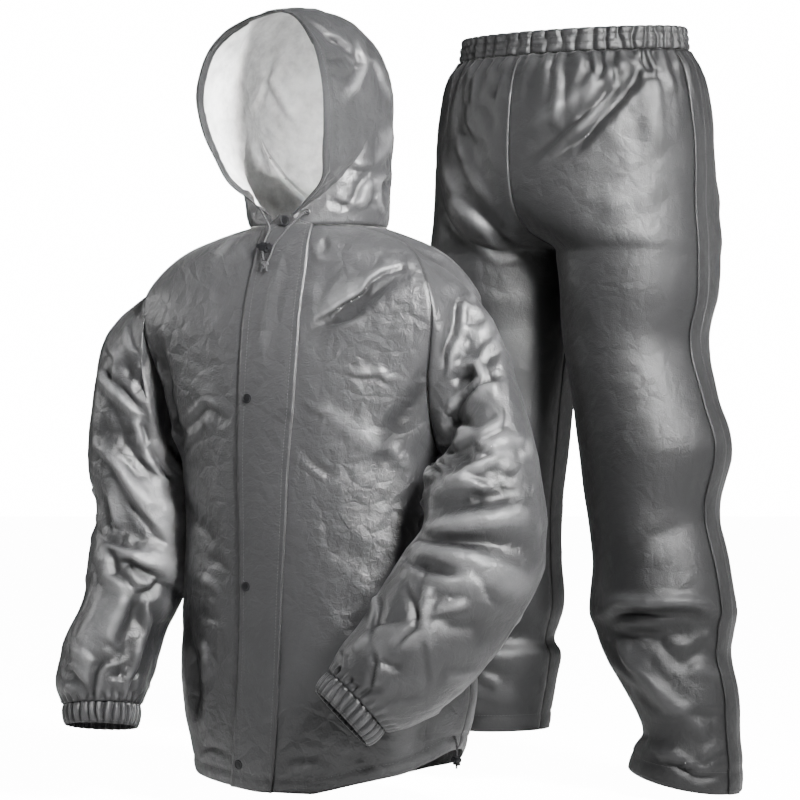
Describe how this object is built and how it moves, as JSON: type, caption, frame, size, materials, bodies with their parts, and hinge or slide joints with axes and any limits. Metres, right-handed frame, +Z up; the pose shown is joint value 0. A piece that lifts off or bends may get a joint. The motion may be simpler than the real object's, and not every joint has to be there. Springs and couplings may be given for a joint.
{
  "type": "rain suit",
  "caption": "Two-piece rain suit: hooded jacket with raglan sleeves, storm flap with snaps and gathered cuffs, worn open and hollow, with elastic-waist trousers standing behind it.",
  "frame": {"origin": "the middle of the jacket's neck seam ring, where the wearer's neck and shoulders carry the jacket", "axes": "+Z up, +Y away from the viewer of the picture, +X to the picture's right; the jacket's front is turned 26 degrees from -Y towards -X, the hood's 32 and the trousers' 38"},
  "size_m": [0.959, 0.7201, 1.0847],
  "materials": {
    "jacket_cloth": "coated, satin",
    "trouser_cloth": "coated, satin",
    "hardware": "moulded, low gloss",
    "cord": "braided"
  },
  "bodies": {
    "root": {"jacket_front_left": "jacket_cloth", "jacket_front_right": "jacket_cloth", "jacket_back": "jacket_cloth", "sleeve_left": "jacket_cloth", "sleeve_right": "jacket_cloth", "cuff_left": "jacket_cloth", "cuff_right": "jacket_cloth", "storm_flap": "jacket_cloth", "hood_left": "jacket_cloth", "hood_right": "jacket_cloth", "brim_facing": "jacket_cloth", "trouser_front_left": "trouser_cloth", "trouser_front_right": "trouser_cloth", "trouser_back_left": "trouser_cloth", "trouser_back_right": "trouser_cloth", "waistband": "trouser_cloth", "side_strip_left": "trouser_cloth", "side_strip_right": "trouser_cloth", "snap_neck": "hardware", "snap_chest": "hardware", "snap_waist": "hardware", "snap_hem": "hardware", "hood_eyelet_left": "hardware", "hood_eyelet_right": "hardware", "hem_eyelet": "hardware", "hood_cord_lock": "hardware", "hem_cord_lock": "hardware", "hood_cord_left": "cord", "hood_cord_right": "cord", "hood_cord_knot": "cord", "hem_cord": "cord"}
  },
  "joints": []
}
